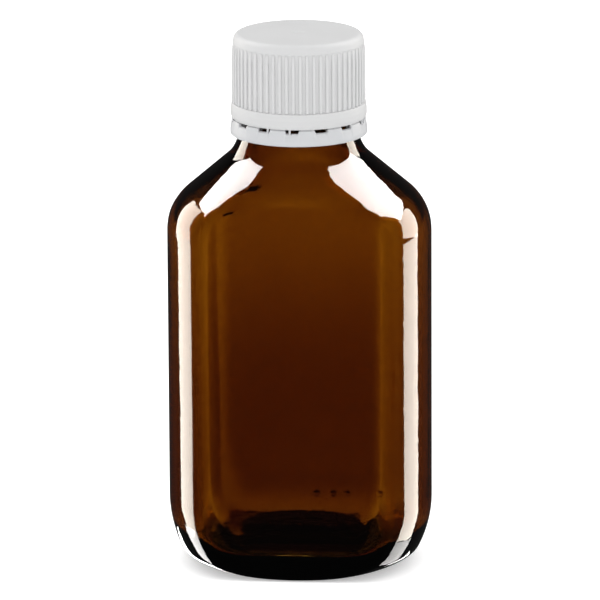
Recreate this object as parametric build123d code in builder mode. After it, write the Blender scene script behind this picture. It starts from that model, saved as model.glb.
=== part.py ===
from build123d import *
import math
import os

# A flat-sided glass medicine bottle with a ribbed, tamper-evident screw cap.
# Millimetres, +Z up. The origin is the centre of the standing ring, the axis of the neck is Z,
# and the two broad flats face -Y (the front) and +Y (the back).

# --- Driving sizes: glass ---
body_radius = 30.2
flat_half_depth = 20.5
flat_edge_radius = 3.0
punt_height = 1.8
ring_inner_radius = 15.4
ring_outer_radius = 17.0
heel_corner = (27.14, 3.36)
heel_corner_radius = 3.5
heel_top = 16.0
shoulder_corner_height = 83.76
shoulder_slope = 1.165
shoulder_radius = 12.2
flare_neck_radius = 13.7
flare_radius = 8.0
flare_top = 101.8
groove_neck_radius = 12.6
groove_bottom = 102.9
neck_radius = 12.45
lip_height = 121.5
wall = 2.35
floor_height = 6.2
floor_corner_radius = 8.0
bore_radius = 9.3
lower_bore_radius = 11.2
bore_taper_bottom = 102.5
bore_taper_top = 107.5
cavity_edge_radius = 8.0
small_round = 0.3

# --- Driving sizes: locking bead and thread of the neck finish ---
bead_radius = 13.9
bead_bottom = 105.8
bead_height = 1.3
bead_run_out = 1.4
pitch = 3.18
neck_thread_crest = 13.65
neck_thread_start = 115.03
neck_thread_turns = 1.5
neck_thread_root_width = 2.0
neck_thread_crest_width = 0.9
cap_thread_turns = 1.25
cap_thread_drop = 1.35
cap_thread_crest = 12.75
cap_thread_root_width = 1.5
cap_thread_crest_width = 0.7
thread_root_overlap = 0.4

# --- Driving sizes: cap ---
cap_top = 124.0
cap_top_thickness = 1.5
cap_edge_radius = 14.6
cap_edge_round = 1.5
crown_radius = 14.95
crown_height = 122.1
crown_round = 3.0
knurl_radius = 15.25
knurl_top = 118.1
rib_count = 60
rib_bottom = 108.1
rib_top = 121.8
rib_groove_radius = 0.55
rib_groove_depth = 0.42
collar_radius = 15.5
collar_neck_radius = 15.35
collar_top = 106.6
collar_widest = 105.4
skirt_bottom = 104.65
skirt_inner_radius = 14.25
thread_bore_radius = 13.95
thread_bore_bottom = 110.6

# --- Driving sizes: liner, tamper band and the bridges that break ---
liner_radius = 13.5
band_bottom = 100.8
band_top = 104.4
band_window_bottom = 103.8
band_radius = 15.6
band_waist = 101.9
band_top_radius = 15.25
band_inner_radius = 14.5
band_hem_radius = 14.1
band_hem_top = 101.2
band_hem_edge = 0.2
flap_count = 14
flap_gap_width = 2.9
flap_gap_azimuth = -1.3
band_window_width = 2.7
flap_root_bottom = 101.1
flap_root_top = 102.2
flap_root_radius = 14.6
flap_bend_height = 101.8
flap_bend_radius = 14.0
flap_tip_height = 105.45
flap_tip_inner_radius = 13.05
flap_tip_outer_radius = 13.7
bridge_count = 18
bridge_azimuth = -3.5
bridge_radius = 14.9
bridge_width = 0.7
bridge_depth = 0.7

front = -90.0
os.makedirs("parts", exist_ok=True)


def flat_crease(part, half_depth):
    """Edges where the two broad flats cut the round body."""
    near = 0.01
    back_edges = part.edges().filter_by_position(Axis.Y, half_depth - near, half_depth + near)
    front_edges = part.edges().filter_by_position(Axis.Y, -half_depth - near, -half_depth + near)
    return back_edges + front_edges


def screw_ridge(root_radius, crest_radius, root_width, crest_width, start_height, turns):
    """Right-hand thread ridge, wound from +X at start_height, standing on a wall at root_radius."""
    outward = 1 if crest_radius > root_radius else -1
    with BuildPart() as ridge:
        with BuildLine():
            path = Helix(pitch, pitch * turns, root_radius, center=(0, 0, start_height))
        with BuildSketch(Plane(origin=path @ 0, x_dir=(outward, 0, 0), z_dir=path % 0)):
            with BuildLine():
                Polyline(
                    (-thread_root_overlap, -root_width / 2),
                    (0, -root_width / 2),
                    (abs(crest_radius - root_radius), -crest_width / 2),
                    (abs(crest_radius - root_radius), crest_width / 2),
                    (0, root_width / 2),
                    (-thread_root_overlap, root_width / 2),
                    close=True,
                )
            make_face()
        sweep(path=path, is_frenet=True)
    return ridge.part


# --- Inside of the bottle, a solid that is taken out of the glass ---
# The bore widens below the finish and runs into a sloping shoulder; the inner walls follow the
# flats one wall inside.
inner_radius = body_radius - wall
inner_slope_shift = wall * math.hypot(1, shoulder_slope)
inner_cone_at_corner = body_radius - inner_slope_shift
inner_shoulder = shoulder_corner_height - (inner_radius - inner_cone_at_corner) / shoulder_slope
inner_neck = shoulder_corner_height + (inner_cone_at_corner - lower_bore_radius) / shoulder_slope
inner_flare_radius = 6.0
inner_taper_radius = 3.0
cavity_half_depth = flat_half_depth - wall

with BuildPart() as cavity:
    with BuildSketch(Plane.XZ):
        with BuildLine():
            FilletPolyline(
                (0, floor_height),
                (inner_radius, floor_height),
                (inner_radius, inner_shoulder),
                (lower_bore_radius, inner_neck),
                (lower_bore_radius, bore_taper_bottom),
                (bore_radius, bore_taper_top),
                (bore_radius, lip_height + 1),
                (0, lip_height + 1),
                radius=[
                    floor_corner_radius,
                    shoulder_radius - wall,
                    inner_flare_radius,
                    inner_taper_radius,
                    inner_taper_radius,
                    0,
                ],
            )
            Line((0, lip_height + 1), (0, floor_height))
        make_face()
    revolve(axis=Axis.Z)
    with BuildSketch(Plane.XY):
        Rectangle(4 * body_radius, 2 * cavity_half_depth)
    extrude(amount=cap_top, mode=Mode.INTERSECT)
    fillet(flat_crease(cavity.part, cavity_half_depth), cavity_edge_radius)

# --- Glass bottle: one moulding from the standing ring to the lip ---
flare_corner = shoulder_corner_height + (body_radius - flare_neck_radius) / shoulder_slope
bead_top = bead_bottom + bead_height

with BuildPart() as glass_bottle:
    with BuildSketch(Plane.XZ) as glass_outline:
        with BuildLine():
            TangentArc((0, punt_height), (ring_inner_radius, 0), tangent=(1, 0))
            Line((ring_inner_radius, 0), (ring_outer_radius, 0))
            TangentArc((ring_outer_radius, 0), heel_corner, tangent=(1, 0))
            TangentArc((body_radius, heel_top), heel_corner, tangent=(0, -1))
            FilletPolyline(
                (body_radius, heel_top),
                (body_radius, shoulder_corner_height),
                (flare_neck_radius, flare_corner),
                (flare_neck_radius, flare_top),
                (groove_neck_radius, groove_bottom),
                (groove_neck_radius, bead_bottom),
                (bead_radius, bead_bottom + small_round),
                (bead_radius, bead_top),
                (neck_radius, bead_top + bead_run_out),
                (neck_radius, lip_height),
                (0, lip_height),
                radius=[
                    shoulder_radius,
                    flare_radius,
                    small_round,
                    2 * small_round,
                    small_round,
                    small_round,
                    small_round,
                    2 * small_round,
                    3 * small_round,
                ],
            )
            Line((0, lip_height), (0, punt_height))
        make_face()
        heel_vertex = glass_outline.vertices().sort_by_distance(Vector(*heel_corner, 0))[0]
        fillet(heel_vertex, heel_corner_radius)
    revolve(axis=Axis.Z)
    with BuildSketch(Plane.XY):
        Rectangle(4 * body_radius, 2 * flat_half_depth)
    extrude(amount=cap_top, mode=Mode.INTERSECT)
    fillet(flat_crease(glass_bottle.part, flat_half_depth), flat_edge_radius)
    add(
        screw_ridge(
            neck_radius,
            neck_thread_crest,
            neck_thread_root_width,
            neck_thread_crest_width,
            neck_thread_start,
            neck_thread_turns,
        )
    )
    add(cavity.part, mode=Mode.SUBTRACT)

glass_bottle.part.label = "glass_bottle"
export_step(glass_bottle.part, "parts/glass_bottle.step")

# --- Cap: a ribbed shell with a bulged collar and an inside thread ---
cap_ceiling = cap_top - cap_top_thickness
bore_step = 0.3

with BuildPart() as screw_cap:
    with BuildSketch(Plane.XZ):
        with BuildLine():
            FilletPolyline(
                (0, cap_top),
                (cap_edge_radius, cap_top),
                (crown_radius, crown_height),
                (knurl_radius, knurl_top),
                (knurl_radius, rib_bottom),
                (collar_neck_radius, rib_bottom - small_round),
                (collar_radius, collar_top),
                (collar_radius, collar_widest),
                (knurl_radius, skirt_bottom),
                (skirt_inner_radius, skirt_bottom),
                (skirt_inner_radius, thread_bore_bottom - bore_step),
                (thread_bore_radius, thread_bore_bottom),
                (thread_bore_radius, cap_ceiling),
                (0, cap_ceiling),
                radius=[
                    cap_edge_round,
                    crown_round,
                    0,
                    0,
                    small_round / 3,
                    small_round,
                    small_round,
                    0,
                    0,
                    0,
                    0,
                    0,
                ],
            )
            Line((0, cap_ceiling), (0, cap_top))
        make_face()
    revolve(axis=Axis.Z)
    with BuildSketch(Plane.XY.offset(rib_bottom)):
        with PolarLocations(knurl_radius - rib_groove_depth + rib_groove_radius, rib_count):
            Circle(rib_groove_radius)
    extrude(amount=rib_top - rib_bottom, mode=Mode.SUBTRACT)
    add(
        screw_ridge(
            thread_bore_radius,
            cap_thread_crest,
            cap_thread_root_width,
            cap_thread_crest_width,
            neck_thread_start - cap_thread_drop,
            cap_thread_turns,
        )
    )

screw_cap.part.label = "screw_cap"
export_step(screw_cap.part, "parts/screw_cap.step")

# --- Sealing liner: a foam disc between the lip and the inside of the cap's top ---
liner_thickness = cap_ceiling - lip_height

with BuildPart() as sealing_liner:
    with BuildSketch(Plane.XY.offset(lip_height)):
        Circle(liner_radius)
    extrude(amount=liner_thickness)

sealing_liner.part.label = "sealing_liner"
export_step(sealing_liner.part, "parts/sealing_liner.step")

# --- Tamper band: a ring below the cap, with flaps that lock under the bead of the neck ---
flap_ring_middle = (flap_tip_inner_radius + flap_root_radius) / 2
flap_ring_reach = 4.0
band_window_reach = 3.0

with BuildPart() as tamper_band:
    with BuildSketch(Plane.XZ):
        with BuildLine():
            Polyline(
                (band_hem_radius, flap_root_bottom),
                (flap_bend_radius, flap_bend_height),
                (flap_tip_inner_radius, flap_tip_height - small_round),
                (flap_tip_inner_radius + small_round / 3, flap_tip_height),
                (flap_tip_outer_radius, flap_tip_height),
                (flap_root_radius, flap_root_top),
                (flap_root_radius, flap_root_bottom),
                close=True,
            )
        make_face()
    revolve(axis=Axis.Z)
    with BuildSketch(Plane.XY.offset(band_bottom)):
        with PolarLocations(flap_ring_middle, flap_count, start_angle=front + flap_gap_azimuth):
            Rectangle(flap_ring_reach, flap_gap_width)
    extrude(amount=cap_top - band_bottom, mode=Mode.SUBTRACT)
    with BuildSketch(Plane.XZ):
        with BuildLine():
            Polyline(
                (band_hem_radius, band_bottom),
                (band_radius - band_hem_edge, band_bottom),
                (band_radius, band_bottom + band_hem_edge),
                (band_radius, band_waist),
                (band_top_radius, band_top),
                (band_inner_radius, band_top),
                (band_inner_radius, band_hem_top),
                (band_hem_radius, band_hem_top),
                close=True,
            )
        make_face()
    revolve(axis=Axis.Z)
    with BuildSketch(Plane.XY.offset(band_window_bottom)):
        with PolarLocations(band_radius, flap_count, start_angle=front + flap_gap_azimuth):
            Rectangle(band_window_reach, band_window_width)
    extrude(amount=band_top - band_window_bottom, mode=Mode.SUBTRACT)

tamper_band.part.label = "tamper_band"
export_step(tamper_band.part, "parts/tamper_band.step")

# --- Break bridges: thin stubs that join the band to the cap until the first opening ---
# A stub that falls in one of the band's windows starts from the window's floor.
window_pitch = 360 / flap_count
window_half_turn = math.degrees(band_window_width / 2 / bridge_radius)
stub_half_turn = math.degrees(bridge_width / 2 / bridge_radius)


def stub_foot(turn):
    """Height that a bridge at this azimuth from the front stands on."""
    off_window = abs((turn - flap_gap_azimuth + window_pitch / 2) % window_pitch - window_pitch / 2)
    return band_window_bottom if off_window < window_half_turn - stub_half_turn else band_top


with BuildPart() as break_bridges:
    for i in range(bridge_count):
        turn = bridge_azimuth + i * 360 / bridge_count
        with BuildSketch(Plane.XY.offset(stub_foot(turn))):
            with PolarLocations(bridge_radius, 1, start_angle=front + turn):
                Rectangle(bridge_depth, bridge_width)
        extrude(amount=skirt_bottom - stub_foot(turn))

break_bridges.part.label = "break_bridges"
export_step(break_bridges.part, "parts/break_bridges.step")
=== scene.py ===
import math
import bmesh
import bpy
from mathutils import Matrix, Quaternion, Vector, noise


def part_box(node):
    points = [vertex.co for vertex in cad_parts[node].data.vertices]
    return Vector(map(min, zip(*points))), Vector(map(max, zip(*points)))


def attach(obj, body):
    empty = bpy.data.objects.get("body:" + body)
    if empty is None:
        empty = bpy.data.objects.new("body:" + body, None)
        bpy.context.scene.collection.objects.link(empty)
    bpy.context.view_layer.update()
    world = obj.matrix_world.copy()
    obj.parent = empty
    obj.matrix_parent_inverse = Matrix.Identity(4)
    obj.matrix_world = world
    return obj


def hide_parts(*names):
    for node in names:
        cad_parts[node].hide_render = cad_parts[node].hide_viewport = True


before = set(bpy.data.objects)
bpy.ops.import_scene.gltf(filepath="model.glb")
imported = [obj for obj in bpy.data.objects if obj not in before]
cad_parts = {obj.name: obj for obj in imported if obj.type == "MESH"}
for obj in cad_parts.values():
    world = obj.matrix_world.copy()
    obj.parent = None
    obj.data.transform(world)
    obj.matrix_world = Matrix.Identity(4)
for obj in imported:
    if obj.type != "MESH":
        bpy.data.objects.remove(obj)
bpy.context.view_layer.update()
MM = 0.001

# ---------------------------------------------------------------------------------------------
# Bottle: amber soda-lime glass, blown in a split mould. A round body with a soft heel is pressed
# flat front and back, and rises through a sloping shoulder to a threaded neck with a bead. The
# glass settled before it set, so the flats are thicker low down and thinner along their edges.
# ---------------------------------------------------------------------------------------------
_, glass_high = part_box("glass_bottle")
body_radius = glass_high.x
flat_half_depth = glass_high.y
lip_height = glass_high.z
flat_edge = 1.0 * MM
arch_edge = 4.6 * MM
arch_widest, arch_narrowest = 29.0 * MM, 24.0 * MM
punt = 1.8 * MM
ring_inner, ring_outer = 15.4 * MM, 17.0 * MM
heel_corner = (27.14 * MM, 3.36 * MM)
heel_round = 3.5 * MM
heel_top = 16.0 * MM
shoulder_height = 83.76 * MM
shoulder_slope = 1.165
shoulder_round = 12.2 * MM
flare_radius = 13.7 * MM
flare_round = 8.0 * MM
flare_top = 101.8 * MM
groove_radius = 12.6 * MM
groove_low, groove_high = 102.9 * MM, 105.8 * MM
bead_radius = 13.9 * MM
bead_low, bead_high = 106.1 * MM, 107.1 * MM
neck_radius = 12.45 * MM
neck_low = 108.5 * MM
thread_crest = 13.65 * MM
thread_pitch = 3.18 * MM
thread_start = 115.03 * MM
thread_turns = 1.5
thread_top_width, thread_flank = 0.9 * MM, 0.55 * MM
thread_fade = math.radians(50)
thread_zone = (112.0 * MM, lip_height - 1.2 * MM)
thread_rings = 44
neck_rounds = [r * MM for r in (0.3, 0.6, 0.3, 0.4, 0.4, 0.8)]
mouth_depth = 1.5 * MM
bore_radius = 9.3 * MM
lower_bore_radius = 11.4 * MM
bore_taper_low, bore_taper_high = 102.5 * MM, 107.5 * MM
wall, shoulder_wall = 1.8 * MM, 1.75 * MM
throat_fill = 1.5 * MM
flat_wall = 0.6 * MM
settled_side, settled_flat = 0.15 * MM, 0.7 * MM
settled_top, settled_reach = 86.0 * MM, 48.0 * MM
panel_half_width, panel_low, panel_high = 18.6 * MM, 10.0 * MM, 87.6 * MM
panel_corner, panel_fade, panel_foot_slope = 5.0 * MM, 2.2 * MM, 0.3
inner_edge = 1.1 * MM
inner_wave, wave_rate, wave_scale = 0.12 * MM, 18, 1.3
inner_rounds = [3.0 * MM, 3.0 * MM, 8.0 * MM, shoulder_round - wall, 6.0 * MM, 4.0 * MM]
inner_draft = 0.5 * MM
floor_edge, floor_shelf = 3.9 * MM, 19.0 * MM
floor_height, floor_crown = 6.4 * MM, 0.8 * MM
knurl_count, knurl_depth = 40, 0.28 * MM
seam_height, seam_half_width = 0.07 * MM, 0.2 * MM
mould_dots = [5.3 * MM, 9.0 * MM, 12.0 * MM, 19.6 * MM]
dot_height, dot_radius, dot_rise = 21.3 * MM, 0.7 * MM, 0.45 * MM


def ease(share):
    """Smooth step from 0 to 1."""
    share = min(1.0, max(0.0, share))
    return share * share * (3 - 2 * share)


def tangent_arc(start, end, heading, count):
    """Points of the arc that leaves start along a heading and finishes at end."""
    start, end, heading = Vector(start), Vector(end), Vector(heading)
    chord = end - start
    inward = (chord - heading * chord.dot(heading)).normalized()
    radius = chord.length_squared / (2 * chord.dot(inward))
    turns = [2 * heading.angle(chord) * i / count for i in range(count + 1)]
    return [
        start + heading * radius * math.sin(turn) + inward * radius * (1 - math.cos(turn))
        for turn in turns
    ]


def rounded_outline(corners, radii, straight_step, arc_step):
    """Points along an outline whose inner corners are each rounded to a radius."""
    corners = [Vector(corner) for corner in corners]
    bends = []
    for before, corner, after, radius in zip(corners, corners[1:], corners[2:], radii):
        heading, leaving = (corner - before).normalized(), (after - corner).normalized()
        turn = heading.angle(leaving)
        reach = radius * math.tan(turn / 2)
        count = max(2, math.ceil(radius * turn / arc_step))
        bends.append(
            tangent_arc(corner - heading * reach, corner + leaving * reach, heading, count)
        )
    points = [corners[0]]
    for bend in bends + [[corners[-1]]]:
        start, end = points[-1], bend[0]
        count = max(1, math.ceil((end - start).length / straight_step))
        points += [start.lerp(end, i / count) for i in range(1, count)]
        points += bend
    return points


def turned(name, rings, angles, place):
    """A closed smooth mesh from rings (radius, height, kind), each a loop or a point on the axis.
    place(ring, angle) gives a point. An outline that keeps off the axis closes on itself."""
    shape = bmesh.new()
    loops = []
    for ring in rings:
        around = angles if ring[0] > 0 else [0.0]
        loops.append([shape.verts.new(place(ring, angle)) for angle in around])
    pairs = list(zip(loops, loops[1:]))
    if rings[0][0] > 0:
        pairs.append((loops[-1], loops[0]))
    count = len(angles)
    for low, high in pairs:
        for i in range(count):
            k = (i + 1) % count
            corners = [low[i % len(low)], low[k % len(low)]]
            corners += [high[k % len(high)], high[i % len(high)]]
            shape.faces.new(list(dict.fromkeys(corners)))
    bmesh.ops.recalc_face_normals(shape, faces=shape.faces)
    mesh = bpy.data.meshes.new(name)
    shape.to_mesh(mesh)
    shape.free()
    mesh.shade_smooth()
    piece = bpy.data.objects.new(name, mesh)
    bpy.context.scene.collection.objects.link(piece)
    return piece


def pressed_flat(radius, angle, half_depth, edge):
    """Distance from the axis of a round section cut by two flats, the edges rounded over."""
    side = abs(math.sin(angle))
    plain = min(radius, half_depth / side) if side > 0 else radius
    a = 1 + side * side
    b = (radius - edge) + (half_depth - edge) * side
    c = (radius - edge) ** 2 + (half_depth - edge) ** 2 - edge * edge
    root = b * b - a * c
    if root < 0:
        return plain
    distance = (b + math.sqrt(root)) / a
    in_edge = distance > radius - edge and distance * side > half_depth - edge
    return distance if in_edge else plain


def thread_rise(angle, height, start, turns, rise, crest, run_out):
    """How far a thread ridge stands up at an angle and a height, fading in and out at its ends."""
    full = 2 * math.pi * turns
    best = 0.0
    for turn in range(math.ceil(turns)):
        along = angle % (2 * math.pi) + 2 * math.pi * turn
        off = abs(height - start - thread_pitch * along / (2 * math.pi))
        ends = min(1.0, along / thread_fade, (full - along) / thread_fade)
        best = max(best, rise * ease(1 - (off - crest / 2) / run_out) * max(0.0, ends))
    return best


def settled(height):
    """Share of the glass's settling at a height: 0 at the shoulder, 1 low on the body."""
    return ease((settled_top - height) / settled_reach)


def edge_rounding(radius, height, plain_edge):
    """Rounding of a flat's edge: tight up the sides, wide where it arches over the shoulder."""
    bend = ease((arch_widest - radius) / (arch_widest - arch_narrowest))
    return plain_edge + (arch_edge - plain_edge) * bend * ease(height / shoulder_height - 0.5)


def panel_share(across, height):
    """1 over the thick middle of a flat, fading to 0 past its border with rounded corners."""
    side = across - panel_half_width + panel_corner
    end = max(height - panel_high, (panel_low - height) * panel_foot_slope) + panel_corner
    past = math.hypot(max(side, 0.0), max(end, 0.0)) - panel_corner
    return 1 - ease(past / panel_fade + 0.5)


def inner_distance(radius, angle, height):
    """Distance from the axis of the inner wall: nearer at the middle of each flat. How far across
    a flat a point lies depends on that distance, so it is found in a few rounds."""
    share = settled(height) * ease((radius - bore_radius) / bore_radius)
    radius -= settled_side * share
    edge = edge_rounding(radius + wall, height, inner_edge)
    distance = radius
    for _ in range(3):
        across = abs(distance * math.cos(angle))
        thick = wall + settled_side * share
        thick += (flat_wall + settled_flat * share) * panel_share(across, height)
        distance = pressed_flat(radius, angle, flat_half_depth - thick, edge)
    wave = noise.noise(Vector((math.cos(angle), math.sin(angle), height * wave_rate)) * wave_scale)
    return distance - inner_wave * wave * min(1.0, radius / bore_radius - 0.9)


def glass_point(ring, angle):
    """A point of the glass skin, by what its ring belongs to."""
    radius, height, kind = ring
    if kind == "inside":
        radius = inner_distance(radius, angle, height)
    elif kind == "thread":
        rise = thread_crest - neck_radius
        radius += thread_rise(
            angle, height, thread_start, thread_turns, rise, thread_top_width, thread_flank
        )
    elif kind == "standing":
        height += knurl_depth * (0.5 - 0.5 * math.cos(knurl_count * angle))
    else:
        edge = edge_rounding(radius, height, flat_edge)
        radius = pressed_flat(radius, angle, flat_half_depth, edge)
        off_seam = radius * abs(math.sin(angle))
        radius += seam_height * math.exp(-((off_seam / seam_half_width) ** 2))
        if angle > math.pi and abs(height - dot_height) < dot_radius:
            across = radius * math.cos(angle)
            near = min(math.hypot(across - dot, height - dot_height) for dot in mould_dots)
            radius += dot_rise * math.sqrt(max(0.0, 1 - (near / dot_radius) ** 2))
    return (radius * math.cos(angle), radius * math.sin(angle), height)


def fine_angles(coarse, spans):
    """Angles round the axis, a coarse step apart, and closer within each span, which is given as
    its middle, its reach to either side and its step, all in degrees."""
    angles, here = [], 0.0
    while here < 360 - 1e-6:
        angles.append(math.radians(here))
        step = coarse
        for middle, reach, fine_step in spans:
            if abs((here - middle + 180) % 360 - 180) <= reach:
                step = min(step, fine_step)
        here += step
    return angles


flat_corner = math.degrees(math.asin(flat_half_depth / body_radius))
corner_spans = [
    (turn, 4.0, 0.6) for turn in (flat_corner, 180 - flat_corner, 180 + flat_corner, -flat_corner)
]
dot_span = (299.0, 17.0, 0.55)
seam_spans = [(0.0, 0.9, 0.3), (180.0, 0.9, 0.3)]
glass_angles = fine_angles(1.8, corner_spans + [dot_span] + seam_spans)

flare_corner = shoulder_height + (body_radius - flare_radius) / shoulder_slope
base_arc = tangent_arc((ring_outer, 0), heel_corner, (1, 0), 14)
heel_arc = tangent_arc((body_radius, heel_top), heel_corner, (0, -1), 40)[::-1]
base_points, heel_points = base_arc[:-2], heel_arc[5:-1]
soft_heel = rounded_outline(
    [base_points[-1], Vector(heel_corner), heel_points[0]], [heel_round], MM, 0.4 * MM
)
dot_rings = [dot_height + dot_radius * i / 5 for i in range(-6, 7)]
upper = [(body_radius, height) for height in [heel_top, heel_top + 2 * MM] + dot_rings]
upper += rounded_outline(
    [
        (body_radius, dot_height + 3 * dot_radius),
        (body_radius, shoulder_height),
        (flare_radius, flare_corner),
        (flare_radius, flare_top),
        (groove_radius, groove_low),
        (groove_radius, groove_high),
        (bead_radius, bead_low),
        (bead_radius, bead_high),
        (neck_radius, neck_low),
        (neck_radius, thread_zone[0]),
    ],
    [shoulder_round, flare_round] + neck_rounds,
    2.2 * MM,
    0.5 * MM,
)
thread_step = (thread_zone[1] - thread_zone[0]) / thread_rings
lip = rounded_outline(
    [
        (neck_radius, thread_zone[1] + thread_step / 2),
        (neck_radius, lip_height),
        (bore_radius, lip_height),
        (bore_radius, lip_height - mouth_depth),
    ],
    [0.9 * MM, 0.7 * MM],
    0.6 * MM,
    0.25 * MM,
)
inner_radius = body_radius - wall
inner_cone = body_radius - shoulder_wall * math.hypot(1, shoulder_slope)
throat_height = shoulder_height + (inner_cone - lower_bore_radius) / shoulder_slope - throat_fill
inside = rounded_outline(
    [
        (bore_radius, lip_height - mouth_depth - 0.1 * MM),
        (bore_radius, bore_taper_high),
        (lower_bore_radius, bore_taper_low),
        (lower_bore_radius, throat_height),
        (inner_radius, shoulder_height - (inner_radius - inner_cone) / shoulder_slope),
        (inner_radius - inner_draft, floor_edge),
        (floor_shelf, floor_height),
        (0, floor_height + floor_crown),
    ],
    inner_rounds,
    2.0 * MM,
    1.0 * MM,
)
punt_arc = tangent_arc((0, punt), (ring_inner, 0), (1, 0), 12)
ring_width = ring_outer - ring_inner
glass_rings = [(r, z, "plain") for r, z in punt_arc]
standing = [ring_inner + ring_width * share for share in (0.1, 0.35, 0.65, 0.9)]
glass_rings += [(r, 0.0, "standing") for r in standing]
glass_rings += [(r, z, "body") for r, z in base_points + soft_heel[1:-1] + heel_points + upper]
glass_rings += [
    (neck_radius, thread_zone[0] + thread_step * i, "thread") for i in range(1, thread_rings + 1)
]
glass_rings += [(r, z, "plain") for r, z in lip]
glass_rings += [(r, z, "inside") for r, z in inside]
bottle = turned("bottle_glass", glass_rings, glass_angles, glass_point)

amber = bpy.data.materials.new("amber_glass")
amber.use_nodes = True
nodes, links = amber.node_tree.nodes, amber.node_tree.links
shader = nodes["Principled BSDF"]
shader.inputs["Transmission Weight"].default_value = 1.0
shader.inputs["Roughness"].default_value = 0.0
shader.inputs["IOR"].default_value = 1.52
place = nodes.new("ShaderNodeTexCoord")
streaks = nodes.new("ShaderNodeTexNoise")
streaks.inputs["Scale"].default_value = 60
streaks.inputs["Detail"].default_value = 3
streak_colour = nodes.new("ShaderNodeMix")
streak_colour.data_type = "RGBA"
streak_colour.inputs[6].default_value = (1, 1, 1, 1)
streak_colour.inputs[7].default_value = (0.97, 0.94, 0.88, 1)
links.new(place.outputs["Object"], streaks.inputs["Vector"])
links.new(streaks.outputs["Fac"], streak_colour.inputs["Factor"])
links.new(streak_colour.outputs[2], shader.inputs["Base Color"])
skin = None
for scale, depth in ((90, 0.06 * MM), (900, 0.011 * MM)):
    ripple = nodes.new("ShaderNodeTexNoise")
    ripple.inputs["Scale"].default_value = scale
    ripple.inputs["Detail"].default_value = 1
    links.new(place.outputs["Object"], ripple.inputs["Vector"])
    bump = nodes.new("ShaderNodeBump")
    bump.inputs["Distance"].default_value = depth
    links.new(ripple.outputs["Fac"], bump.inputs["Height"])
    if skin:
        links.new(skin.outputs["Normal"], bump.inputs["Normal"])
    skin = bump
links.new(skin.outputs["Normal"], shader.inputs["Normal"])
tint = nodes.new("ShaderNodeVolumeAbsorption")
tint.inputs["Color"].default_value = (0.72, 0.56, 0.0, 1)
tint.inputs["Density"].default_value = 1860
links.new(tint.outputs["Volume"], nodes["Material Output"].inputs["Volume"])
bottle.data.materials.append(amber)
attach(bottle, "bottle")
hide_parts("glass_bottle")

# ---------------------------------------------------------------------------------------------
# Sealing liner: a disc of white polyethylene foam, punched from sheet and pressed into the cap.
# The lip of the bottle has left a shallow track round its underside.
# ---------------------------------------------------------------------------------------------
liner_low, liner_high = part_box("sealing_liner")
liner_radius = liner_high.x
liner_middle = 2 * MM
liner_swell = 0.12 * MM
track_inner, track_outer = 9.2 * MM, 12.7 * MM
track_inner_slope, track_outer_slope = 0.5 * MM, 0.3 * MM

liner_outline = [Vector((0, liner_low.z - liner_swell))] + rounded_outline(
    [
        (liner_middle, liner_low.z - liner_swell),
        (track_inner, liner_low.z - liner_swell),
        (track_inner + track_inner_slope, liner_low.z),
        (track_outer, liner_low.z),
        (track_outer + track_outer_slope, liner_low.z - liner_swell / 2),
        (liner_radius, liner_low.z),
        (liner_radius, liner_high.z),
        (liner_middle, liner_high.z),
    ],
    [r * MM for r in (0.3, 0.3, 0.1, 0.1, 0.2, 0.2)],
    1.2 * MM,
    0.15 * MM,
) + [Vector((0, liner_high.z))]


def around_axis(ring, angle):
    """A point of a plain round piece."""
    return (ring[0] * math.cos(angle), ring[0] * math.sin(angle), ring[1])


liner = turned(
    "foam_liner", [(r, z, "plain") for r, z in liner_outline], fine_angles(3.0, []), around_axis
)


def plastic(name, colour, roughness, glow, glow_reach, grain_scale, grain_depth, mottle):
    """Moulded plastic: a slightly uneven colour, a fine grain and some light inside the skin."""
    material = bpy.data.materials.new(name)
    material.use_nodes = True
    nodes, links = material.node_tree.nodes, material.node_tree.links
    shader = nodes["Principled BSDF"]
    shader.inputs["IOR"].default_value = 1.5
    shader.inputs["Specular IOR Level"].default_value = 0.18
    shader.inputs["Subsurface Weight"].default_value = glow
    shader.inputs["Subsurface Radius"].default_value = (1.0, 1.0, 1.0)
    shader.inputs["Subsurface Scale"].default_value = glow_reach
    place = nodes.new("ShaderNodeTexCoord")
    cloud = nodes.new("ShaderNodeTexNoise")
    cloud.inputs["Scale"].default_value = 120
    cloud.inputs["Detail"].default_value = 4
    shade = nodes.new("ShaderNodeMix")
    shade.data_type = "RGBA"
    shade.inputs[6].default_value = (*(c * (1 - mottle) for c in colour), 1)
    shade.inputs[7].default_value = (*colour, 1)
    gloss = nodes.new("ShaderNodeMapRange")
    gloss.inputs["To Min"].default_value = roughness - 0.05
    gloss.inputs["To Max"].default_value = roughness + 0.07
    grain = nodes.new("ShaderNodeTexNoise")
    grain.inputs["Scale"].default_value = grain_scale
    grain.inputs["Detail"].default_value = 2
    bump = nodes.new("ShaderNodeBump")
    bump.inputs["Distance"].default_value = grain_depth
    for texture in (cloud, grain):
        links.new(place.outputs["Object"], texture.inputs["Vector"])
    links.new(cloud.outputs["Fac"], shade.inputs["Factor"])
    links.new(cloud.outputs["Fac"], gloss.inputs["Value"])
    links.new(shade.outputs[2], shader.inputs["Base Color"])
    links.new(gloss.outputs["Result"], shader.inputs["Roughness"])
    links.new(grain.outputs["Fac"], bump.inputs["Height"])
    links.new(bump.outputs["Normal"], shader.inputs["Normal"])
    return material


foam = plastic("liner_foam", (0.86, 0.86, 0.84), 0.75, 0.2, 0.8 * MM, 2600, 0.05 * MM, 0.05)
liner.data.materials.append(foam)
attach(liner, "liner")
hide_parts("sealing_liner")

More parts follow.
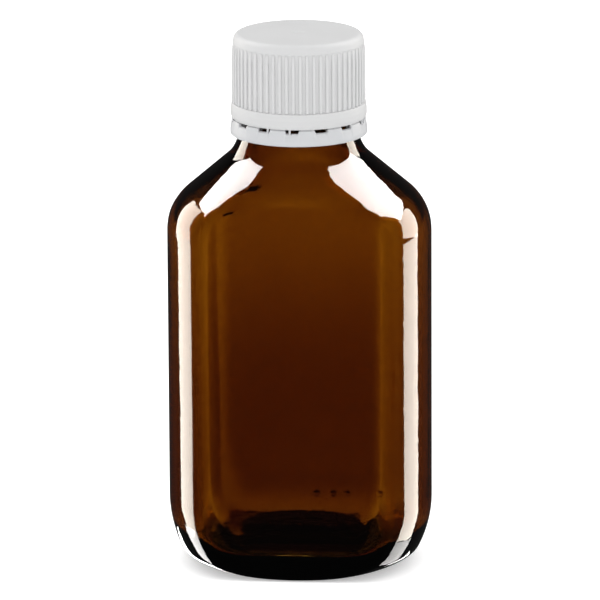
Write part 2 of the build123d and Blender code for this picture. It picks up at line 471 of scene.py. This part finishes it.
# ---------------------------------------------------------------------------------------------
# Screw cap: injection-moulded white polypropylene. Sixty rounded ribs stand on its skirt between
# a smooth crown and a bulged collar; a single thread runs round the inside.
# ---------------------------------------------------------------------------------------------
cap_low, cap_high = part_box("screw_cap")
cap_top, cap_bottom = cap_high.z, cap_low.z
valley_radius, valley_low, valley_high = 14.83 * MM, 108.25 * MM, 121.45 * MM
rib_crest = 15.25 * MM
rib_count = 60
rib_width, rib_end = 0.84 * MM, 0.45 * MM
rib_sink, rib_root = 0.12 * MM, 0.32 * MM
rib_low, rib_straight, rib_high = 108.1 * MM, 118.1 * MM, 122.1 * MM
rib_run_out = 0.5 * MM
crown_top_radius = 14.6 * MM
crown_crest, crown_height, crown_shoulder = 14.96 * MM, 121.6 * MM, 121.85 * MM
ledge_radius, ledge_foot_radius, ledge_foot = 15.3 * MM, 15.36 * MM, 107.7 * MM
collar_radius, collar_low, collar_high = 15.5 * MM, 105.4 * MM, 106.6 * MM
cap_edge_radius = 15.25 * MM
skirt_bore, skirt_bore_top = 14.25 * MM, 110.3 * MM
cap_bore, cap_bore_low = 13.95 * MM, 110.6 * MM
cap_ceiling = cap_top - 1.5 * MM
cap_middle = 0.3 * MM
cap_thread_crest = 12.75 * MM
cap_thread_start, cap_thread_turns = 113.68 * MM, 1.25
cap_thread_width, cap_thread_flank = 0.7 * MM, 0.45 * MM
gate_radius, gate_depth = 1.5 * MM, 0.16 * MM

cap_outline = rounded_outline(
    [
        (cap_middle, cap_top),
        (crown_top_radius, cap_top),
        (crown_crest, crown_shoulder),
        (valley_radius, valley_high),
        (valley_radius, valley_low),
        (ledge_radius, rib_low),
        (ledge_foot_radius, ledge_foot),
        (collar_radius, collar_high),
        (collar_radius, collar_low),
        (cap_edge_radius, cap_bottom),
        (skirt_bore, cap_bottom),
        (skirt_bore, skirt_bore_top),
        (cap_bore, cap_bore_low),
        (cap_bore, cap_ceiling),
        (cap_middle, cap_ceiling),
    ],
    [r * MM for r in (1.5, 0.8, 0.4, 0.12, 0.12, 0.2, 0.4, 0.4, 0.15, 0.08, 0.2, 0.2, 0.5)],
    0.45 * MM,
    0.2 * MM,
)


def cap_point(ring, angle):
    """A point of the cap, sunk at the gate on its top and raised at the thread in its bore."""
    radius, height, kind = ring
    if height > cap_top - MM and radius < gate_radius:
        height -= gate_depth * ease(2 - 2 * radius / gate_radius)
    if kind == "bore" and cap_bore - MM < radius:
        rise = cap_bore - cap_thread_crest
        radius -= thread_rise(
            angle, height, cap_thread_start, cap_thread_turns, rise, cap_thread_width, cap_thread_flank
        )
    return (radius * math.cos(angle), radius * math.sin(angle), height)


cap_rings = [(0.0, cap_top, "plain")]
past_hem = False
for r, z in cap_outline:
    past_hem = past_hem or z < cap_bottom + 0.01 * MM
    cap_rings.append((r, z, "bore" if past_hem else "plain"))
cap_rings.append((0.0, cap_ceiling, "plain"))
cap = turned("ribbed_cap", cap_rings, fine_angles(2.0, []), cap_point)


def strip_mesh(name, sections):
    """A closed smooth bar from a list of equal loops of points, capped at both ends."""
    shape = bmesh.new()
    loops = [[shape.verts.new(point) for point in section] for section in sections]
    count = len(loops[0])
    for low, high in zip(loops, loops[1:]):
        for i in range(count):
            k = (i + 1) % count
            shape.faces.new((low[i], low[k], high[k], high[i]))
    shape.faces.new(loops[0])
    shape.faces.new(loops[-1])
    bmesh.ops.recalc_face_normals(shape, faces=shape.faces)
    mesh = bpy.data.meshes.new(name)
    shape.to_mesh(mesh)
    shape.free()
    mesh.shade_smooth()
    piece = bpy.data.objects.new(name, mesh)
    bpy.context.scene.collection.objects.link(piece)
    return piece


def rib_section(height):
    """One rib's cross-section, rounded over the top, its root sunk into the wall. The rib swells
    from its low end, leans in towards the crown and dies away into it."""
    low_end = math.sqrt(max(0.0, 1 - max(0.0, 1 - (height - rib_low) / rib_end) ** 2))
    lean = max(0.0, (height - rib_straight) / (crown_height - rib_straight))
    foot = valley_radius - rib_sink
    rise = rib_crest + (crown_crest - rib_crest) * lean**2 - foot
    rise *= max(0.3, low_end) * (1 - ease((height - crown_height) / rib_run_out))
    half, root = rib_width / 2 * max(0.45, low_end), valley_radius - rib_root
    turns = [math.pi * i / 10 for i in range(11)]
    over = [(foot + rise * math.sin(t) ** 0.75, -half * math.cos(t), height) for t in turns]
    return over + [(root, half, height), (root, -half, height)]


rib_stations = [rib_low + rib_end * (i / 5) ** 1.5 for i in range(5)]
rib_stations += [rib_low + rib_end + (rib_straight - rib_low) * i / 4 for i in range(4)]
rib_stations += [rib_straight + (rib_high - rib_straight) * i / 10 for i in range(1, 11)]
rib = strip_mesh("cap_rib", [rib_section(height) for height in rib_stations])


def ring_tree():
    """Geometry Nodes: copies of an object stepped round the Z axis, joined to the carrier mesh."""
    tree = bpy.data.node_groups.new("ring_of_copies", "GeometryNodeTree")
    tree.is_modifier = True
    tree.interface.new_socket("Carrier", in_out="INPUT", socket_type="NodeSocketGeometry")
    tree.interface.new_socket("Copied Piece", in_out="INPUT", socket_type="NodeSocketObject")
    tree.interface.new_socket("Count", in_out="INPUT", socket_type="NodeSocketInt")
    tree.interface.new_socket("First Turn", in_out="INPUT", socket_type="NodeSocketFloat")
    tree.interface.new_socket("Finish", in_out="INPUT", socket_type="NodeSocketMaterial")
    tree.interface.new_socket("Ring", in_out="OUTPUT", socket_type="NodeSocketGeometry")
    nodes, links = tree.nodes, tree.links
    given, result = nodes.new("NodeGroupInput"), nodes.new("NodeGroupOutput")
    spots = nodes.new("GeometryNodeMeshLine")
    spots.inputs["Offset"].default_value = (0, 0, 0)
    piece = nodes.new("GeometryNodeObjectInfo")
    index = nodes.new("GeometryNodeInputIndex")
    pitch = nodes.new("ShaderNodeMath")
    pitch.operation = "DIVIDE"
    pitch.inputs[0].default_value = 2 * math.pi
    turn = nodes.new("ShaderNodeMath")
    turn.operation = "MULTIPLY_ADD"
    spin = nodes.new("FunctionNodeAxisAngleToRotation")
    copies = nodes.new("GeometryNodeInstanceOnPoints")
    real = nodes.new("GeometryNodeRealizeInstances")
    joined = nodes.new("GeometryNodeJoinGeometry")
    finish = nodes.new("GeometryNodeSetMaterial")
    links.new(given.outputs["Count"], spots.inputs["Count"])
    links.new(given.outputs["Count"], pitch.inputs[1])
    links.new(index.outputs["Index"], turn.inputs[0])
    links.new(pitch.outputs["Value"], turn.inputs[1])
    links.new(given.outputs["First Turn"], turn.inputs[2])
    links.new(turn.outputs["Value"], spin.inputs["Angle"])
    links.new(given.outputs["Copied Piece"], piece.inputs["Object"])
    links.new(spots.outputs["Mesh"], copies.inputs["Points"])
    links.new(piece.outputs["Geometry"], copies.inputs["Instance"])
    links.new(spin.outputs["Rotation"], copies.inputs["Rotation"])
    links.new(copies.outputs["Instances"], joined.inputs["Geometry"])
    links.new(given.outputs["Carrier"], joined.inputs["Geometry"])
    links.new(joined.outputs["Geometry"], real.inputs["Geometry"])
    links.new(real.outputs["Geometry"], finish.inputs["Geometry"])
    links.new(given.outputs["Finish"], finish.inputs["Material"])
    links.new(finish.outputs["Geometry"], result.inputs["Ring"])
    return tree


copy_ring = ring_tree()


def add_ring(carrier, copied, count, first_turn, finish):
    """Joins a ring of copies to the carrier as one plain mesh, and clears the pattern piece away.
    first_turn is in degrees."""
    modifier = carrier.modifiers.new("ring", "NODES")
    modifier.node_group = copy_ring
    sockets = {item.name: item.identifier for item in copy_ring.interface.items_tree}
    modifier[sockets["Copied Piece"]] = copied
    modifier[sockets["Count"]] = count
    modifier[sockets["First Turn"]] = math.radians(first_turn)
    modifier[sockets["Finish"]] = finish
    graph = bpy.context.evaluated_depsgraph_get()
    mesh = bpy.data.meshes.new_from_object(carrier.evaluated_get(graph))
    carrier.modifiers.remove(modifier)
    carrier.data = mesh
    bpy.data.objects.remove(copied)


white_plastic = plastic(
    "white_plastic", (0.545, 0.547, 0.55), 0.56, 0.25, 0.9 * MM, 700, 0.012 * MM, 0.03
)
add_ring(cap, rib, rib_count, 0.0, white_plastic)
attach(cap, "cap")
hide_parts("screw_cap")

# ---------------------------------------------------------------------------------------------
# Tamper band: a ring of thinner, slightly clearer plastic moulded with the cap. Fourteen flaps
# fold up inside it and catch under the bead of the neck when the cap is first turned.
# ---------------------------------------------------------------------------------------------
band_low, band_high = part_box("tamper_band")
band_bottom, flap_top = band_low.z, band_high.z
band_radius = band_high.x
band_waist = band_bottom + 1.1 * MM
band_top = 104.4 * MM
band_top_radius = 15.25 * MM
window_depth = 0.8 * MM
window_half_turn = math.radians(5.7)
window_corner = math.radians(0.8)
band_inner = 14.5 * MM
band_lip_radius, band_lip_top = 14.95 * MM, 104.6 * MM
hem_inner, hem_top = 14.1 * MM, band_bottom + 0.4 * MM
hem_middle = (hem_inner + band_radius) / 2
hem_gap = 0.3 * MM
flap_count = 14
flap_first = -91.3
flap_half_turn = math.radians(6.65)
flap_foot = band_bottom + 0.3 * MM
flap_foot_radius, flap_root_radius, flap_root_top = 14.35 * MM, 14.6 * MM, band_bottom + 1.4 * MM
flap_bend_radius, flap_bend = 14.0 * MM, band_bottom + 1.0 * MM
flap_tip_inner, flap_tip_middle, flap_tip_outer = 13.05 * MM, 13.35 * MM, 13.7 * MM
flap_tip_slope = 0.3 * MM
flap_end_trim = 0.25

band_outline = rounded_outline(
    [
        (hem_middle, band_bottom),
        (band_radius, band_bottom),
        (band_radius, band_waist),
        (band_top_radius, band_top),
        (band_lip_radius, band_top),
        (band_lip_radius, band_lip_top),
        (band_inner, band_lip_top),
        (band_inner, hem_top),
        (hem_inner, hem_top),
        (hem_inner, band_bottom),
        (hem_middle - hem_gap, band_bottom),
    ],
    [r * MM for r in (0.3, 0.5, 0.18, 0.05, 0.05, 0.05, 0.1, 0.1, 0.1)],
    0.5 * MM,
    0.12 * MM,
)


def band_point(ring, angle):
    """The band's outline at an angle, its top let down to a window's floor between two flaps."""
    radius, height, _ = ring
    pitch = 2 * math.pi / flap_count
    off = abs((angle - math.radians(flap_first) + pitch / 2) % pitch - pitch / 2)
    cut = window_depth * ease((window_half_turn - off) / window_corner + 0.5)
    height -= cut * (height - band_bottom) / (band_top - band_bottom)
    return (radius * math.cos(angle), radius * math.sin(angle), height)


band = turned(
    "tamper_ring", [(r, z, "plain") for r, z in band_outline], fine_angles(0.75, []), band_point
)
flap_outline = rounded_outline(
    [
        (flap_foot_radius, flap_foot),
        (hem_inner, flap_foot),
        (flap_bend_radius, flap_bend),
        (flap_tip_inner, flap_top - flap_tip_slope),
        (flap_tip_middle, flap_top),
        (flap_tip_outer, flap_top),
        (flap_root_radius, flap_root_top),
        (flap_root_radius, flap_foot),
    ],
    [r * MM for r in (0.05, 0.4, 0.15, 0.1, 0.15, 0.3)],
    0.8 * MM,
    0.1 * MM,
)
flap_steps = 12
flap_sections = []
for step in range(flap_steps + 1):
    across = 2 * step / flap_steps - 1
    turn = flap_half_turn * across
    trim = 1 - flap_end_trim * across**6
    flap_sections.append(
        [
            (r * math.cos(turn), r * math.sin(turn), band_bottom + (z - band_bottom) * trim)
            for r, z in flap_outline
        ]
    )
flap = strip_mesh("lock_flap", flap_sections)

band_plastic = plastic(
    "band_plastic", (0.52, 0.527, 0.54), 0.45, 0.45, 1.4 * MM, 700, 0.01 * MM, 0.04
)
add_ring(band, flap, flap_count, flap_first + 180 / flap_count, band_plastic)
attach(band, "band")
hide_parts("tamper_band")

# ---------------------------------------------------------------------------------------------
# Break bridges: eighteen thin stubs left between cap and band by the mould. They are narrowest at
# the middle, where they snap at the first opening.
# ---------------------------------------------------------------------------------------------
bridge_count = 18
bridge_first = -93.5
bridge_radius = 14.9 * MM
bridge_half, bridge_waist = 0.35 * MM, 0.25 * MM
bridge_foot = band_top - window_depth
bridge_steps, bridge_sides = 8, 12

bridge_sections = []
for step in range(bridge_steps + 1):
    share = step / bridge_steps
    half = bridge_half + (bridge_waist - bridge_half) * math.sin(math.pi * share)
    height = bridge_foot + (cap_bottom - bridge_foot) * share
    turns = [math.pi * (2 * i + 1) / bridge_sides for i in range(bridge_sides)]
    bridge_sections.append(
        [(bridge_radius + half * math.cos(t), half * math.sin(t), height) for t in turns]
    )
bridge = strip_mesh("bridge", bridge_sections)
bridges = bpy.data.objects.new("bridge_ring", bpy.data.meshes.new("bridge_ring"))
bpy.context.scene.collection.objects.link(bridges)
add_ring(bridges, bridge, bridge_count, bridge_first, band_plastic)
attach(bridges, "band")
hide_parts("break_bridges")

# ---------------------------------------------------------------------------------------------
# Studio: white paper on a light table, two tall soft boxes at each side with their glow carried
# on below the table for the heel to mirror, and a soft fill from above the front left. The camera
# looks from a little above and right of the front.
# ---------------------------------------------------------------------------------------------
elevation, azimuth, roll = math.radians(14.4), math.radians(4.5), math.radians(0.3)
camera_distance = 1.695
aim = Vector((0.00006, 0, 0.0613))
facing_camera = Vector((math.sin(azimuth), -math.cos(azimuth), 0))
camera_right = Vector((math.cos(azimuth), math.sin(azimuth), 0))
away = facing_camera * math.cos(elevation) + Vector((0, 0, math.sin(elevation)))
camera_data = bpy.data.cameras.new("camera")
camera_data.lens = 444.4
camera_data.clip_end = 20
camera = bpy.data.objects.new("camera", camera_data)
camera.location = aim + away * camera_distance
camera.rotation_mode = "QUATERNION"
camera.rotation_quaternion = Quaternion(away, -roll) @ (-away).to_track_quat("-Z", "Y")
bpy.context.scene.collection.objects.link(camera)
bpy.context.scene.camera = camera

floor_reach = 3.0
floor_corners = [(-1, -1), (1, -1), (1, 1), (-1, 1)]
floor_points = [(x * floor_reach, y * floor_reach, 0) for x, y in floor_corners]
floor_mesh = bpy.data.meshes.new("floor")
floor_mesh.from_pydata(floor_points, [], [(0, 1, 2, 3)])
floor = bpy.data.objects.new("floor", floor_mesh)
bpy.context.scene.collection.objects.link(floor)
paper = bpy.data.materials.new("white_paper")
paper.use_nodes = True
paper_shader = paper.node_tree.nodes["Principled BSDF"]
paper_shader.inputs["Base Color"].default_value = (0.94, 0.94, 0.94, 1)
paper_shader.inputs["Roughness"].default_value = 1.0
paper_shader.inputs["Specular IOR Level"].default_value = 0.0
paper_shader.inputs["Emission Color"].default_value = (1, 1, 1, 1)
paper_shader.inputs["Emission Strength"].default_value = 0.4
floor_mesh.materials.append(paper)
floor.visible_glossy = False


cream, white = (1.0, 0.93, 0.82), (1.0, 0.98, 0.96)


def softbox(name, foot, head, width, watts, colour, seen_by=("glossy", "transmission")):
    """A soft panel facing the bottle. Its foot and its head are each a bearing in degrees from the
    camera's direction, a reach from the axis and a height. seen_by names the rays that meet it."""
    ends = []
    for bearing, reach, height in (foot, head):
        turn = math.radians(bearing)
        out = facing_camera * math.cos(turn) + camera_right * math.sin(turn)
        ends.append(out * reach + Vector((0, 0, height)))
    middle, up = (ends[0] + ends[1]) / 2, (ends[1] - ends[0]).normalized()
    back = (middle - aim).normalized()
    back = (back - up * back.dot(up)).normalized()
    data = bpy.data.lights.new(name, "AREA")
    data.shape = "RECTANGLE"
    data.size, data.size_y = width, (ends[1] - ends[0]).length
    data.energy = watts
    data.color = colour
    lamp = bpy.data.objects.new(name, data)
    turned_to = Matrix((up.cross(back), up, back)).transposed()
    lamp.matrix_world = Matrix.Translation(middle) @ turned_to.to_4x4()
    lamp.visible_camera = False
    lamp.visible_glossy = "glossy" in seen_by
    lamp.visible_transmission = "transmission" in seen_by
    lamp.visible_diffuse = "diffuse" in seen_by
    bpy.context.scene.collection.objects.link(lamp)


softbox("left_low_box", (-111.5, 0.8, -0.364), (-132, 0.8, 0.51), 0.345, 8.0, cream)
softbox("left_high_box", (-122, 0.8, 0.575), (-126, 0.5, 0.88), 0.57, 12, white)
softbox("right_box", (110.5, 0.8, 0.02), (121, 0.8, 0.47), 0.34, 4.6, cream)
softbox("right_high_box", (124, 0.8, 0.46), (105, 0.35, 1.0), 0.46, 16.5, white)
softbox("right_glow", (117, 0.8, -0.47), (111, 0.8, -0.02), 0.31, 3.7, cream)
softbox("left_heel_glow", (-118, 0.8, -0.9), (-113, 0.8, -0.375), 0.5, 6, white)
softbox("right_heel_glow", (124, 0.8, -0.9), (118, 0.8, -0.475), 0.34, 2.2, white)
softbox("left_rim_glow", (-163, 0.8, -0.7), (-163, 0.8, -0.3), 0.22, 3, white)
softbox("right_rim_glow", (150, 0.8, -0.75), (150, 0.8, -0.45), 0.12, 1, white)
softbox("top_fill", (-30, 0.35, 0.8), (-30, -0.05, 0.95), 0.5, 0.8, white, seen_by=("diffuse",))

# The room is pale to the eye and through the glass, and nearly dark in anything that mirrors it,
# so that only the soft boxes shine in the glass and the plastic.
world = bpy.data.worlds.new("studio")
bpy.context.scene.world = world
world.use_nodes = True
sky = world.node_tree.nodes["Background"]
sky.inputs["Color"].default_value = (1, 1, 1, 1)
path = world.node_tree.nodes.new("ShaderNodeLightPath")
dim = world.node_tree.nodes.new("ShaderNodeMapRange")
dim.inputs["To Min"].default_value = 1.2
dim.inputs["To Max"].default_value = 0.025
world.node_tree.links.new(path.outputs["Is Glossy Ray"], dim.inputs["Value"])
world.node_tree.links.new(dim.outputs["Result"], sky.inputs["Strength"])
bpy.context.scene.view_settings.view_transform = "Standard"
